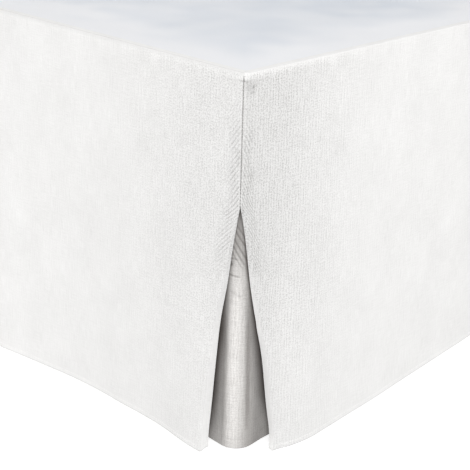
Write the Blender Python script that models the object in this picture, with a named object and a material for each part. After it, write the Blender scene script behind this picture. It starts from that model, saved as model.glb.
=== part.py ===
"""Bed skirt with split corners, hung on a plain bed base.

Metres, +Z up. The origin is on the floor, at the middle of the footprint.
+Y points to the head end. The skirt covers the foot end and both sides; the head end is open.
"""

import math
from collections import namedtuple

import bmesh
import bpy

MM = 0.001

# Skirt, measured over the outer faces of its drops
SKIRT_WIDTH = 1.524
SKIRT_LENGTH = 2.032
SKIRT_TOP = 0.383
HEM_HEIGHT = 8 * MM
CLOTH = 2 * MM
GAP = 0.3 * MM

# The foot drop flares at the hem and the head end has no drop, so half that flare centres the part
FOOT_Y = -SKIRT_LENGTH / 2 + 6 * MM
HEAD_Y = FOOT_Y + SKIRT_LENGTH
HALF_WIDTH = SKIRT_WIDTH / 2

# Top edge of a drop: it turns over the base and is sewn to the deck
TOP_BEND_RADIUS = 4 * MM
TOP_TURNOVER = 6.5 * MM
CORNER_RADIUS = 9 * MM
SEAM_SHIFT_DEG = 13.0

# Flare grows towards the hem by this power of the depth below the top
FLARE_POWER = 1.6

# How far an underlay reaches along each side of its corner
UNDERLAY_REACH = 0.12

# Bed base
BASE_INSET = 6.5 * MM
BASE_THICKNESS = 0.102
BASE_CORNER_RADIUS = 35 * MM
BASE_EDGE_RADIUS = 5 * MM
BASE_TOP = SKIRT_TOP - CLOTH - GAP
BASE_BOTTOM = BASE_TOP - BASE_THICKNESS
DECK_HEAD_MARGIN = 6 * MM
LEG_INSET = 0.085
LEG_TOP_RADIUS = 26 * MM
LEG_FOOT_RADIUS = 20 * MM
LEG_FOOT_CHAMFER = 2 * MM
LEG_MIDDLE_Y = 0.42

# Mesh fineness
TURN_COLUMNS = 7
NEAR_COLUMNS = 3
NEAR_REACH = 0.09
COLUMN_SPACING = 0.075
BEND_ROWS = 3
ARC_STEPS = 7
ROUND_STEPS = 6
EDGE_STEPS = 3
LEG_SIDES = 20

# How far a drop stands outside its plane at the hem, along the drop from its foot corner
Flare = namedtuple("Flare", "along_mm out_mm")
LEFT_FLARE = [
    Flare(0, 0),
    Flare(30, 0),
    Flare(58, 1),
    Flare(75, 0),
    Flare(105, -2),
    Flare(135, -1.5),
    Flare(165, 0.5),
    Flare(195, 1.5),
    Flare(225, 4),
    Flare(255, 8),
    Flare(285, 13),
    Flare(315, 18.5),
    Flare(345, 24),
    Flare(420, 28),
    Flare(540, 19),
    Flare(720, 8),
    Flare(920, 13),
    Flare(1160, 5),
    Flare(1400, 14),
    Flare(1640, 8),
    Flare(1850, 13),
    Flare(2032, 9),
]
RIGHT_FLARE = [
    Flare(0, 0),
    Flare(30, 0),
    Flare(60, 2),
    Flare(120, 4),
    Flare(240, 13),
    Flare(420, 24),
    Flare(540, 28),
    Flare(760, 14),
    Flare(980, 6),
    Flare(1260, 15),
    Flare(1580, 7),
    Flare(1830, 12),
    Flare(2032, 8),
]
FOOT_FLARE = [
    Flare(0, 0),
    Flare(30, 0),
    Flare(52, 1),
    Flare(70, 7),
    Flare(94, 11.5),
    Flare(124, 12),
    Flare(190, 11.5),
    Flare(260, 9.5),
    Flare(345, 7.5),
    Flare(480, 4),
    Flare(640, 7),
    Flare(800, 12),
    Flare(960, 6),
    Flare(1120, 8),
    Flare(1300, 12),
    Flare(1420, 11),
    Flare(1466, 3),
    Flare(1494, 0),
    Flare(1524, 0),
]

# Split edge of a flap at each height: how far it stands back from the corner, how deep its edge
# turns in behind it, through what angle and at what radius. The first row is the end of the seam.
Split = namedtuple("Split", "height_mm open_mm depth_mm turn_deg radius_mm")
SIDE_SPLIT = [
    Split(272, 0, 1.3, 45 - SEAM_SHIFT_DEG, CORNER_RADIUS / MM),
    Split(262, 4.5, 3.0, 50, 8.0),
    Split(247, 10, 4.2, 66, 7.0),
    Split(225, 15.5, 5.6, 80, 6.4),
    Split(195, 21.5, 7.4, 90, 6.0),
    Split(154, 30.5, 9.6, 94, 6.0),
    Split(111, 36.5, 11.6, 95, 6.0),
    Split(62, 42.5, 13.4, 96, 6.0),
    Split(8, 49, 15, 96, 6.0),
]
FOOT_SPLIT = [
    Split(272, 0, 4.2, 45 + SEAM_SHIFT_DEG, CORNER_RADIUS / MM),
    Split(262, 2, 4.6, 64, 8.0),
    Split(247, 5.5, 4.8, 72, 6.6),
    Split(225, 10.5, 5, 82, 5.2),
    Split(195, 16, 5.6, 90, 4.6),
    Split(154, 26.5, 6.4, 94, 4.6),
    Split(111, 38, 7, 95, 4.6),
    Split(62, 46, 7.6, 96, 4.6),
    Split(8, 54, 8, 96, 4.6),
]
SEAM_END = SIDE_SPLIT[0].height_mm * MM

# The far corner hangs a little differently: its openings are these shares of the near corner's
RIGHT_SIDE_OPEN_SHARE = 0.9
RIGHT_FOOT_OPEN_SHARE = 1.06

# Outer face of an underlay at each height: its distance inside the side drop's and the foot
# drop's planes, and the radius of its rounded corner
Hang = namedtuple("Hang", "height_mm side_mm foot_mm radius_mm")
UNDERLAY_HANG = [
    Hang(376, 2.4, 2.4, 14),
    Hang(330, 2.6, 2.6, 14),
    Hang(284, 2.6, 2.6, 14),
    Hang(262, 4.4, 5.2, 14),
    Hang(240, 6.2, 6.4, 14),
    Hang(210, 8.4, 7.6, 14.5),
    Hang(175, 10.6, 9.2, 15),
    Hang(140, 12.6, 11, 16),
    Hang(100, 15, 13.4, 17.5),
    Hang(60, 17.4, 15.8, 19),
    Hang(10, 20.5, 18.5, 20),
]

# Levels of a drop's points below its top bend, closer together where the split begins
UPPER_LEVELS = [0.345, 0.31, 0.285, SEAM_END]
SPLIT_LEVELS = [0.262, 0.25, 0.232, 0.205, 0.17, 0.13, 0.09, 0.05, 0.025]
DROP_LEVELS = UPPER_LEVELS + SPLIT_LEVELS + [HEM_HEIGHT]

Finish = namedtuple("Finish", "color roughness metallic")
LINEN = Finish((0.86, 0.85, 0.83), 0.92, 0.0)
DECKING = Finish((0.84, 0.86, 0.88), 0.85, 0.0)
TICKING = Finish((0.62, 0.60, 0.56), 0.9, 0.0)
STEEL = Finish((0.08, 0.08, 0.085), 0.5, 0.9)


def clear_scene():
    """Removes whatever the new file holds."""
    for thing in list(bpy.data.objects):
        bpy.data.objects.remove(thing)


def material(name, finish):
    """A Principled material of one colour."""
    made = bpy.data.materials.get(name)
    if made:
        return made
    made = bpy.data.materials.new(name)
    made.use_nodes = True
    shader = made.node_tree.nodes["Principled BSDF"]
    shader.inputs["Base Color"].default_value = (*finish.color, 1.0)
    shader.inputs["Roughness"].default_value = finish.roughness
    shader.inputs["Metallic"].default_value = finish.metallic
    return made


def add_body(name, points, faces, finish, slot):
    """Links a closed mesh as an object, with its faces pointing out."""
    mesh = bpy.data.meshes.new(name)
    mesh.from_pydata(points, [], faces)
    work = bmesh.new()
    work.from_mesh(mesh)
    bmesh.ops.recalc_face_normals(work, faces=work.faces)
    work.to_mesh(mesh)
    work.free()
    body = bpy.data.objects.new(name, mesh)
    bpy.context.scene.collection.objects.link(body)
    mesh.materials.append(material(slot, finish))
    mesh.shade_smooth()
    mesh.set_sharp_from_angle(angle=math.radians(40))
    return body


def smooth_value(rows, at, key, value):
    """Reads a column of a table at any place, on a smooth curve through its rows."""
    rows = sorted(rows, key=lambda row: getattr(row, key))
    places = [getattr(row, key) for row in rows]
    values = [getattr(row, value) for row in rows]
    if at <= places[0]:
        return values[0]
    if at >= places[-1]:
        return values[-1]
    i = max(k for k in range(len(places) - 1) if places[k] <= at)
    span = places[i + 1] - places[i]
    before = max(i - 1, 0)
    after = min(i + 2, len(places) - 1)
    slope_start = (values[i + 1] - values[before]) / (places[i + 1] - places[before])
    slope_end = (values[after] - values[i]) / (places[after] - places[i])
    t = (at - places[i]) / span
    start_weight = 2 * t**3 - 3 * t**2 + 1
    end_weight = 3 * t**2 - 2 * t**3
    start_bend = t**3 - 2 * t**2 + t
    end_bend = t**3 - t**2
    level = start_weight * values[i] + end_weight * values[i + 1]
    return level + span * (start_bend * slope_start + end_bend * slope_end)


def flare_at(table, along, height):
    """Distance of a drop's outer face outside its plane, at a place on the drop."""
    depth = (SKIRT_TOP - height) / (SKIRT_TOP - HEM_HEIGHT)
    at_hem = smooth_value(table, along / MM, "along_mm", "out_mm") * MM
    return at_hem * max(depth, 0.0) ** FLARE_POWER


def split_at(table, height, open_share):
    """The split edge's opening, depth, turn angle and radius at a height, in metres and radians."""
    level = min(height, SEAM_END) / MM
    opening = smooth_value(table, level, "height_mm", "open_mm") * MM * open_share
    depth = smooth_value(table, level, "height_mm", "depth_mm") * MM
    turn = math.radians(smooth_value(table, level, "height_mm", "turn_deg"))
    radius = smooth_value(table, level, "height_mm", "radius_mm") * MM
    return opening, depth, turn, radius


def flap_edge(flare, split, height, inset, open_share=1.0):
    """Plan points of a flap's turned edge, from its inner end to the flat drop.

    Each point is (along the drop from the corner, outside the drop's plane). inset is how far
    the face that is drawn lies inside the outer face.
    """
    opening, depth, turn, radius = split_at(split, height, open_share)
    start = opening + radius
    ahead = flare_at(flare, start + MM, height)
    behind = flare_at(flare, start - MM, height)
    lean = math.atan2(ahead - behind, 2 * MM)
    centre_along = start + radius * math.sin(lean)
    centre_out = flare_at(flare, start, height) - radius * math.cos(lean)
    reach = radius - inset
    back = max(0.0, (depth - radius * (1 - math.cos(turn))) / math.sin(turn))
    turn -= math.asin(GAP / 2 / reach)
    length = radius * turn + back
    points = []
    for k in range(TURN_COLUMNS):
        walked = length * (1 - k / TURN_COLUMNS)
        angle = lean + min(walked / radius, turn)
        past = max(0.0, walked - radius * turn)
        along = centre_along - reach * math.sin(angle) - past * math.cos(angle)
        out = centre_out + reach * math.cos(angle) - past * math.sin(angle)
        points.append((along, out))
    points.append((start, flare_at(flare, start, height) - inset))
    for k in range(1, NEAR_COLUMNS + 1):
        along = start + (NEAR_REACH - start) * k / NEAR_COLUMNS
        points.append((along, flare_at(flare, along, height) - inset))
    return points


def flat_columns(flare, first, last, height, inset):
    """Plan points of a drop between two places along it, the ends left out."""
    count = max(1, round((last - first) / COLUMN_SPACING))
    points = []
    for k in range(1, count):
        along = first + (last - first) * k / count
        points.append((along, flare_at(flare, along, height) - inset))
    return points


def drop_rows():
    """Heights and insets of a drop's outer and inner face, from the deck's edge down to the hem."""
    inner_radius = TOP_BEND_RADIUS - CLOTH
    bend_height = SKIRT_TOP - TOP_BEND_RADIUS
    rows = [((SKIRT_TOP, TOP_TURNOVER), (SKIRT_TOP - CLOTH, TOP_TURNOVER))]
    for k in range(BEND_ROWS + 1):
        angle = math.radians(90) * (1 - k / BEND_ROWS)
        rise, run = math.sin(angle), math.cos(angle)
        outer = (bend_height + TOP_BEND_RADIUS * rise, TOP_BEND_RADIUS * (1 - run))
        inner = (bend_height + inner_radius * rise, TOP_BEND_RADIUS - inner_radius * run)
        rows.append((outer, inner))
    rows += [((height, 0.0), (height, CLOTH)) for height in DROP_LEVELS]
    return rows


def sheet_faces(columns, rows):
    """Faces of a closed sheet whose outer points come first, column by column, then the inner."""
    inner = columns * rows
    faces = []

    def outer_at(i, j):
        return i * rows + j

    for i in range(columns - 1):
        for j in range(rows - 1):
            a, b = outer_at(i, j), outer_at(i + 1, j)
            c, d = outer_at(i + 1, j + 1), outer_at(i, j + 1)
            faces.append((a, b, c, d))
            faces.append((inner + d, inner + c, inner + b, inner + a))
    for i in range(columns - 1):
        for j in (0, rows - 1):
            a, b = outer_at(i, j), outer_at(i + 1, j)
            faces.append((a, b, inner + b, inner + a))
    for j in range(rows - 1):
        for i in (0, columns - 1):
            a, b = outer_at(i, j), outer_at(i, j + 1)
            faces.append((a, b, inner + b, inner + a))
    return faces


def add_sheet(name, outer_rows, inner_rows, finish, slot):
    """A closed sheet from its two faces, each a list of rows of points."""
    columns, rows = len(outer_rows[0]), len(outer_rows)
    points = []
    for side in (outer_rows, inner_rows):
        for i in range(columns):
            points += [side[j][i] for j in range(rows)]
    return add_body(name, points, sheet_faces(columns, rows), finish, slot)


def side_section(flare, height, inset, open_share):
    """Plan points of a side drop, from its split edge to the head end."""
    edge = flap_edge(flare, SIDE_SPLIT, height, inset, open_share)
    middle = flat_columns(flare, NEAR_REACH, SKIRT_LENGTH, height, inset)
    end = (SKIRT_LENGTH, flare_at(flare, SKIRT_LENGTH, height) - inset)
    return edge + middle + [end]


def foot_section(height, inset):
    """Plan points of the foot drop, from the left corner to the right."""
    mirrored = [Flare(SKIRT_WIDTH / MM - row.along_mm, row.out_mm) for row in FOOT_FLARE]
    left = flap_edge(FOOT_FLARE, FOOT_SPLIT, height, inset)
    right = flap_edge(mirrored, FOOT_SPLIT, height, inset, RIGHT_FOOT_OPEN_SHARE)
    right = [(SKIRT_WIDTH - along, out) for along, out in reversed(right)]
    middle = flat_columns(FOOT_FLARE, NEAR_REACH, SKIRT_WIDTH - NEAR_REACH, height, inset)
    return left + middle + right


def left_point(along, out, height):
    """A place on the left drop, in the part's frame."""
    return (-HALF_WIDTH - out, FOOT_Y + along, height)


def right_point(along, out, height):
    """A place on the right drop, in the part's frame."""
    return (HALF_WIDTH + out, FOOT_Y + along, height)


def foot_point(along, out, height):
    """A place on the foot drop, in the part's frame."""
    return (-HALF_WIDTH + along, FOOT_Y - out, height)


def add_drop(name, section, place):
    """A drop from its plan section at each height, and the function that puts it in place."""
    faces = []
    for side in (0, 1):
        rows = []
        for row in drop_rows():
            height, inset = row[side]
            rows.append([place(along, out, height) for along, out in section(height, inset)])
        faces.append(rows)
    return add_sheet(name, faces[0], faces[1], LINEN, "skirt_linen")


def underlay_section(height, inset):
    """Plan points of an underlay round its corner, as (along the foot, along the side)."""
    level = height / MM
    side = smooth_value(UNDERLAY_HANG, level, "height_mm", "side_mm") * MM
    foot = smooth_value(UNDERLAY_HANG, level, "height_mm", "foot_mm") * MM
    radius = smooth_value(UNDERLAY_HANG, level, "height_mm", "radius_mm") * MM
    centre = (side + radius, foot + radius)
    reach = radius - inset
    points = []
    for k in range(NEAR_COLUMNS):
        share = k / NEAR_COLUMNS
        points.append((side + inset, UNDERLAY_REACH + (centre[1] - UNDERLAY_REACH) * share))
    for k in range(ARC_STEPS + 1):
        angle = math.radians(90) * k / ARC_STEPS
        points.append((centre[0] - reach * math.cos(angle), centre[1] - reach * math.sin(angle)))
    for k in range(1, NEAR_COLUMNS + 1):
        share = k / NEAR_COLUMNS
        points.append((centre[0] + (UNDERLAY_REACH - centre[0]) * share, foot + inset))
    return points


def add_underlay(name, hand):
    """The cloth behind a split corner. hand is -1 for the left corner and 1 for the right."""
    faces = []
    for inset in (0.0, CLOTH):
        rows = []
        for row in UNDERLAY_HANG:
            height = row.height_mm * MM
            section = underlay_section(height, inset)
            rows.append([(hand * (HALF_WIDTH - x), FOOT_Y + y, height) for x, y in section])
        faces.append(rows)
    return add_sheet(name, faces[0], faces[1], LINEN, "skirt_linen")


def rounded_rectangle(low, high, radii):
    """Plan outline of a rectangle; radii are those of its foot-left corner and on, anticlockwise."""
    corners = [(low[0], low[1]), (high[0], low[1]), (high[0], high[1]), (low[0], high[1])]
    inward = [(1, 1), (-1, 1), (-1, -1), (1, -1)]
    points = []
    for k, (corner, into, radius) in enumerate(zip(corners, inward, radii)):
        if radius == 0:
            points.append(corner)
            continue
        centre = (corner[0] + into[0] * radius, corner[1] + into[1] * radius)
        for step in range(ROUND_STEPS + 1):
            angle = math.radians(180 + 90 * (k + step / ROUND_STEPS))
            x = centre[0] + radius * math.cos(angle)
            y = centre[1] + radius * math.sin(angle)
            points.append((x, y))
    return points


def add_stack(name, rings, finish, slot):
    """A closed body from rings of points of one count, bottom to top, with flat ends."""
    count = len(rings[0])
    points = [point for ring in rings for point in ring]
    faces = [tuple(range(count)), tuple(range(len(points) - count, len(points)))]
    for j in range(len(rings) - 1):
        for i in range(count):
            a, b = j * count + i, j * count + (i + 1) % count
            faces.append((a, b, b + count, a + count))
    return add_body(name, points, faces, finish, slot)


def add_deck():
    """The flat sheet on the base, between the turned edges of the drops."""
    edge = TOP_TURNOVER + GAP
    low = (-HALF_WIDTH + edge, FOOT_Y + edge)
    high = (HALF_WIDTH - edge, HEAD_Y - DECK_HEAD_MARGIN)
    corner = CORNER_RADIUS - edge
    outline = rounded_rectangle(low, high, (corner, corner, 0, 0))
    rings = [[(x, y, z) for x, y in outline] for z in (SKIRT_TOP - CLOTH, SKIRT_TOP)]
    return add_stack("deck_panel", rings, DECKING, "deck_cloth")


def add_base():
    """The plain base: a low platform with round corners and softened edges."""
    low = (-HALF_WIDTH + BASE_INSET, FOOT_Y + BASE_INSET)
    high = (HALF_WIDTH - BASE_INSET, HEAD_Y)
    levels = []
    for k in range(EDGE_STEPS + 1):
        angle = math.radians(90) * k / EDGE_STEPS
        inset = BASE_EDGE_RADIUS * (1 - math.sin(angle))
        levels.append((inset, BASE_EDGE_RADIUS * (1 - math.cos(angle))))
    stack = [(inset, BASE_BOTTOM + rise) for inset, rise in levels]
    stack += [(inset, BASE_TOP - rise) for inset, rise in reversed(levels)]
    rings = []
    for inset, height in stack:
        corner_low = (low[0] + inset, low[1] + inset)
        corner_high = (high[0] - inset, high[1] - inset)
        radii = [BASE_CORNER_RADIUS - inset] * 4
        outline = rounded_rectangle(corner_low, corner_high, radii)
        rings.append([(x, y, height) for x, y in outline])
    return add_stack("bed_base", rings, TICKING, "base_cloth")


def leg_ring(centre, radius, height):
    """One level of a leg."""
    points = []
    for k in range(LEG_SIDES):
        angle = math.tau * k / LEG_SIDES
        x = centre[0] + radius * math.cos(angle)
        y = centre[1] + radius * math.sin(angle)
        points.append((x, y, height))
    return points


def add_leg(name, centre):
    """A straight tapered leg under the base, with a flat foot."""
    rings = [
        leg_ring(centre, LEG_FOOT_RADIUS - LEG_FOOT_CHAMFER, 0.0),
        leg_ring(centre, LEG_FOOT_RADIUS, LEG_FOOT_CHAMFER),
        leg_ring(centre, LEG_TOP_RADIUS, BASE_BOTTOM - GAP),
    ]
    return add_stack(name, rings, STEEL, "leg_steel")


def add_legs():
    """A leg near each corner and two on the middle line."""
    side = HALF_WIDTH - LEG_INSET
    add_leg("leg_foot_left", (-side, FOOT_Y + LEG_INSET))
    add_leg("leg_foot_right", (side, FOOT_Y + LEG_INSET))
    add_leg("leg_head_left", (-side, HEAD_Y - LEG_INSET))
    add_leg("leg_head_right", (side, HEAD_Y - LEG_INSET))
    add_leg("leg_middle_foot", (0.0, -LEG_MIDDLE_Y))
    add_leg("leg_middle_head", (0.0, LEG_MIDDLE_Y))


def build():
    """Makes every piece of the skirt and of the base under it."""
    clear_scene()
    add_deck()
    add_drop("foot_drop", foot_section, foot_point)
    add_drop(
        "left_drop",
        lambda height, inset: side_section(LEFT_FLARE, height, inset, 1.0),
        left_point,
    )
    add_drop(
        "right_drop",
        lambda height, inset: side_section(RIGHT_FLARE, height, inset, RIGHT_SIDE_OPEN_SHARE),
        right_point,
    )
    add_underlay("left_corner_underlay", -1)
    add_underlay("right_corner_underlay", 1)
    add_base()
    add_legs()


build()
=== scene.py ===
"""Looks of a bed skirt with split corners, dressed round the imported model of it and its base.

Metres, +Z up. The skirt's near corner is the foot-left one. A drop is drawn on its solid's folds:
"along" is the distance along the drop from its foot corner, "out" the distance outside its plane,
and "edge" the distance walked on the cloth from its seam or split edge.
"""

import math
from collections import namedtuple

import bmesh
import bpy
import numpy as np
from mathutils import Matrix, Vector


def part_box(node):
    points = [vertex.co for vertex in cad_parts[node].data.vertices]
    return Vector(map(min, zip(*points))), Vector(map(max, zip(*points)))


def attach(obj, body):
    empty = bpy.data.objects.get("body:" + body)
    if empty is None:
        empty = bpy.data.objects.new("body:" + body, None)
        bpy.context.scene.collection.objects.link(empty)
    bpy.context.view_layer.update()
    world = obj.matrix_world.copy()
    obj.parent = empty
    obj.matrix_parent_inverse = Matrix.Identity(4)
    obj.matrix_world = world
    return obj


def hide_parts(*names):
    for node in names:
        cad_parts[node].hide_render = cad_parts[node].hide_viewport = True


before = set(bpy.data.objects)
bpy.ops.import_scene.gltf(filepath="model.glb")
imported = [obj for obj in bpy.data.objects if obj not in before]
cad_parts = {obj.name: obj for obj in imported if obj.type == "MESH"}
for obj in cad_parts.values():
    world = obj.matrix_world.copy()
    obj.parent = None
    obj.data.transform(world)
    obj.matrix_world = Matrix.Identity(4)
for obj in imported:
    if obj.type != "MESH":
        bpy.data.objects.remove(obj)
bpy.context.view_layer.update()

MM = 0.001


def table(kind, *rows):
    """Rows of numbers under their columns' names."""
    return [kind(*row) for row in rows]


# The solids' sizes, as the model gives them and as its drops are drawn
GAP = 0.3 * MM
TOP_BEND_RADIUS = 1.8 * MM
TOP_TURNOVER = 6.5 * MM
CORNER_RADIUS = 4 * MM
SEAM_SHIFT_DEG = 29.0
FLARE_POWER = 1.6
UNDERLAY_REACH = 0.12
SKIRT_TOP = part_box("deck_panel")[1][2]
HEM_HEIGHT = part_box("foot_drop")[0][2]
HALF_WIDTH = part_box("deck_panel")[1][0] + TOP_TURNOVER + GAP
FOOT_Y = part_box("deck_panel")[0][1] - TOP_TURNOVER - GAP
HEAD_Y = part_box("left_drop")[1][1]
SKIRT_LENGTH = HEAD_Y - FOOT_Y
SKIRT_WIDTH = 2 * HALF_WIDTH

# How far a drop stands outside its plane at the hem, along the drop from its foot corner
Flare = namedtuple("Flare", "along_mm out_mm")
LEFT_FLARE = table(
    Flare,
    (0, 0), (30, 0), (58, 1), (75, 0), (105, -2), (135, -1.5), (165, 0.5), (195, 1.5), (225, 4),
    (255, 8), (285, 13), (315, 18.5), (345, 24), (420, 28), (540, 19), (720, 8), (920, 13),
    (1160, 5), (1400, 14), (1640, 8), (1850, 13), (2032, 9),
)
RIGHT_FLARE = table(
    Flare,
    (0, 0), (30, 0), (60, 2), (120, 4), (240, 13), (420, 24), (540, 28), (760, 14), (980, 6),
    (1260, 15), (1580, 7), (1830, 12), (2032, 8),
)
FOOT_FLARE = table(
    Flare,
    (0, 0), (30, 0), (52, 1), (70, 7), (94, 11.5), (124, 12), (190, 11.5), (260, 9.5),
    (345, 7.5), (480, 4), (640, 7), (800, 12), (960, 6), (1120, 8), (1300, 12), (1420, 11),
    (1466, 3), (1494, 0), (1524, 0),
)

# Split edge of a flap at each height: how far it stands back from the corner, how deep its edge
# turns in behind it, through what angle and at what radius. The first row is the end of the seam.
Split = namedtuple("Split", "height_mm open_mm depth_mm turn_deg radius_mm")
SIDE_SPLIT = table(
    Split,
    (272, 0, 0.2, 45 - SEAM_SHIFT_DEG, CORNER_RADIUS / MM),
    (262, 4.5, 1.4, 44, 3.4),
    (247, 9.2, 2.6, 58, 3.0),
    (225, 14.4, 3.8, 66, 2.8),
    (195, 20.2, 5.0, 72, 2.8),
    (154, 29.2, 6.4, 76, 2.8),
    (111, 35.0, 7.6, 78, 3.0),
    (62, 40.7, 8.8, 78, 3.2),
    (26, 44.4, 9.2, 78, 3.4),
    (8, 44.8, 9.6, 78, 3.4),
)
FOOT_SPLIT = table(
    Split,
    (272, 0, 2.9, 45 + SEAM_SHIFT_DEG, CORNER_RADIUS / MM),
    (262, 3.0, 2.9, 76, 3.4),
    (247, 6.6, 3.0, 78, 3.0),
    (225, 11.6, 3.6, 80, 2.6),
    (195, 17.6, 4.4, 80, 2.6),
    (154, 27.9, 5.4, 80, 2.8),
    (111, 39.0, 6.2, 80, 3.0),
    (62, 46.8, 6.8, 80, 3.2),
    (26, 51.3, 6.2, 80, 3.0),
    (8, 50.0, 4.6, 80, 2.8),
)
SEAM_END = SIDE_SPLIT[0].height_mm * MM
RIGHT_SIDE_OPEN_SHARE = 0.9
RIGHT_FOOT_OPEN_SHARE = 1.06

# Outer face of an underlay at each height: its distance inside the side drop's and the foot
# drop's planes, and the radius of its rounded corner
Hang = namedtuple("Hang", "height_mm side_mm foot_mm radius_mm")
UNDERLAY_HANG = table(
    Hang,
    (376, 2.4, 2.4, 14), (330, 2.6, 2.6, 14), (284, 2.6, 2.6, 14), (262, 4.4, 5.2, 14),
    (240, 6.2, 6.4, 14), (210, 8.4, 7.6, 14.5), (175, 10.6, 9.2, 15), (140, 12.6, 11, 16),
    (100, 15, 13.4, 17.5), (60, 17.4, 15.8, 19), (10, 20.5, 18.5, 20),
)

# The deep shade inside a split corner: how far from the underlay's ridge it is full towards each
# drop, and how light the ridge itself is
Shade = namedtuple("Shade", "height_mm side_mm foot_mm ridge_share")
UNDERLAY_SHADE = table(
    Shade,
    (376, 4, 3, 0.08), (268, 5, 3, 0.08), (260, 6, 3, 0.32), (245, 9, 3.6, 0.5),
    (228, 12, 4.6, 0.68), (210, 14, 6, 0.86), (190, 17, 10, 1.0), (165, 19, 15, 1.0),
    (140, 20, 21, 1.0), (115, 24, 27, 1.0), (90, 27, 32, 1.0), (65, 29, 37, 1.0),
    (45, 34, 46, 0.98), (30, 40, 56, 0.98), (18, 48, 60, 0.92), (10, 52, 64, 0.9),
)

# The finer sheets
SHEET = 1.3 * MM
UNDERLAY_SHEET = 1.2 * MM
DECK_SHEET = 1.2 * MM
HEM_BAND_MM = 6.0
UNDERLAY_BOTTOM_MM = UNDERLAY_HANG[-1].height_mm
UNDERLAY_HEM_MM = 9.5
STITCH_PITCH_MM = 2.9
HEM_STITCH_PITCH_MM = 3.0
SPLIT_BAND_MM = 5.0
RIB_PITCH = 3.3 * MM
HEM_CORNER_LIFT = 2.8 * MM
DECK_SEAM_GAP = 0.02 * MM
DECK_FINE_END = 0.8
DECK_FINE_STEP = 7 * MM
DECK_COARSE_STEP = 14 * MM

# Threads: length and radius, and the heights between which the corner seams are sewn
HEM_THREAD = (2.0 * MM, 0.2 * MM)
SEAM_THREAD = (1.5 * MM, 0.22 * MM)
UNDERLAY_THREAD = (1.7 * MM, 0.14 * MM)
SEWN_FROM_MM, SEWN_TO_MM = 273, 377
THREAD_SIDES = 6

# The painted light layer: how dark the painted shade in puckers, folds and the corner seams is,
# and how light a drop's face is beside its strip on the deck, which is painted lighter. The grain
# is strong up to a reach from a sewn corner.
PUCKER_PAINTED_SHADE = 0.42
CREASE_PAINTED_SHADE = 0.5
SEAM_PAINTED_SHADE = 0.8
FACE_LIGHT = 0.87
GRAIN_REACH_MM = 125

# The plain base: its cover's soft edge, round corner and piping, and its turned legs
BASE_EDGE = 5 * MM
BASE_CORNER = 35 * MM
PIPING_RADIUS = 1.5 * MM
PIPING_IN = 12 * MM
LEG_FOOT_RADIUS = 20 * MM
LEG_FOOT_SOFT = 2.5 * MM
LEG_SIDES = 56

# The photograph's camera, placed from the near corner's foot, and the studio
FOCAL_PIXELS = 1006.3
PHOTO_PIXELS = 470
CAMERA_TURN_DEG = (43.78, 23.11, 1.54)
CAMERA_FROM_CORNER = (-0.5573, -0.5267, 0.5740)
SURROUNDINGS = 0.36
FLOOR_GLOW = 0.7
FLOOR_REACH = 14.0
Lamp = namedtuple("Lamp", "name place target size power")
LAMPS = table(
    Lamp,
    ("front", (-3.4, -3.6, 2.0), (-HALF_WIDTH, FOOT_Y, 0.2), 1.8, 135),
    ("left", (-3.8, 1.0, 1.6), (-HALF_WIDTH, -0.7, 0.2), 1.6, 62),
    ("right", (1.3, -4.0, 1.6), (-0.4, FOOT_Y, 0.2), 1.6, 66),
)

# What a drop's cloth has beside a sewn corner: its grain, the soft shade round the seam and the
# puckers, with their upright pitch, their slope high up and low down, and their length
Corner = namedtuple(
    "Corner",
    "grain shade shade_reach_mm low_share top_shade pucker_mm pitch_mm slope low_slope reach_mm",
)
SIDE_CORNER = Corner(0.74, 0.125, 150, 0.4, 0.14, 0.38, 5.2, 1.3, 1.3, 16)
FOOT_CORNER = Corner(1.15, 0.20, 115, 0.6, 0.05, 0.30, 5.8, 1.45, 2.4, 13)

# A fine mesh's levels: between two heights, how many steps, and how many parts each step has
# beside a corner
Levels = namedtuple("Levels", "top_mm bottom_mm steps parts")
DROP_LEVELS = table(
    Levels,
    (379, 203, 28, 8),
    (203, 24, 26, 3),
    (24, 9.5, 14, 1),
    (9.5, 8, 4, 1),
)
UNDERLAY_LEVELS = table(
    Levels,
    (376, 276, 14, 1),
    (276, 196, 20, 4),
    (196, 28, 28, 3),
    (28, 11.5, 14, 1),
    (11.5, 10, 4, 1),
)
BEND_STEPS = 8
TURN_COLUMNS = 16
CLOSE_COLUMNS = 28
CLOSE_SPACING = 0.5 * MM
NEAR_COLUMNS = 22
NEAR_REACH = 0.1
FAR_SPACING = 9 * MM
INNER_EVERY = 3

# Creases that show on the drops: the ends of each, how deep and how wide it is
Crease = namedtuple("Crease", "along_mm height_mm to_along_mm to_height_mm depth_mm width_mm")
LEFT_CREASES = table(
    Crease,
    (367, 34, 311, 39, 0.35, 3.5),
    (107, 145, 62, 148, 0.3, 3.0),
    (190, 300, 260, 120, 0.25, 16),
    (60, 240, 95, 60, 0.2, 12),
)
FOOT_CREASES = table(
    Crease,
    (20, 172, 36, 134, 0.28, 0.9),
    (120, 330, 150, 90, 0.22, 14),
    (250, 300, 230, 60, 0.25, 18),
)
RIGHT_CREASES = table(
    Crease,
    (160, 320, 210, 70, 0.3, 16),
    (520, 260, 470, 40, 0.35, 18),
)


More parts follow.
